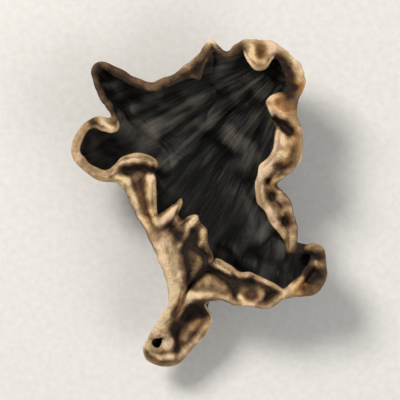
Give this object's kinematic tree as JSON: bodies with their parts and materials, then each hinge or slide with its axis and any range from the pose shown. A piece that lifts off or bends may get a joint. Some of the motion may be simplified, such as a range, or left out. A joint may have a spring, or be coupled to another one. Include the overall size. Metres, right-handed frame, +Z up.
{
  "type": "dried wood ear mushroom",
  "caption": "Dried wood ear mushroom: a thin crinkled dark cup with a rolled tan margin, a drooping lobe and a short stub cut off flat, resting on the cut with its cup open upwards",
  "frame": {"origin": "centre of the flat cut under the stub, on the surface that the ear rests on", "axes": "+Z up, out of the open cup; +Y towards the upper rim, away from the drooping foot lobe, along the length; +X towards the right rim for somebody who looks down into the cup"},
  "size_m": [0.0402, 0.0522, 0.0164],
  "materials": {
    "dried_ear": "dry and leathery: charcoal satin inside the cup, grey-brown and velvety outside, tan on the rolled margin"
  },
  "bodies": {
    "root": {"wood_ear": "dried_ear"}
  },
  "joints": []
}
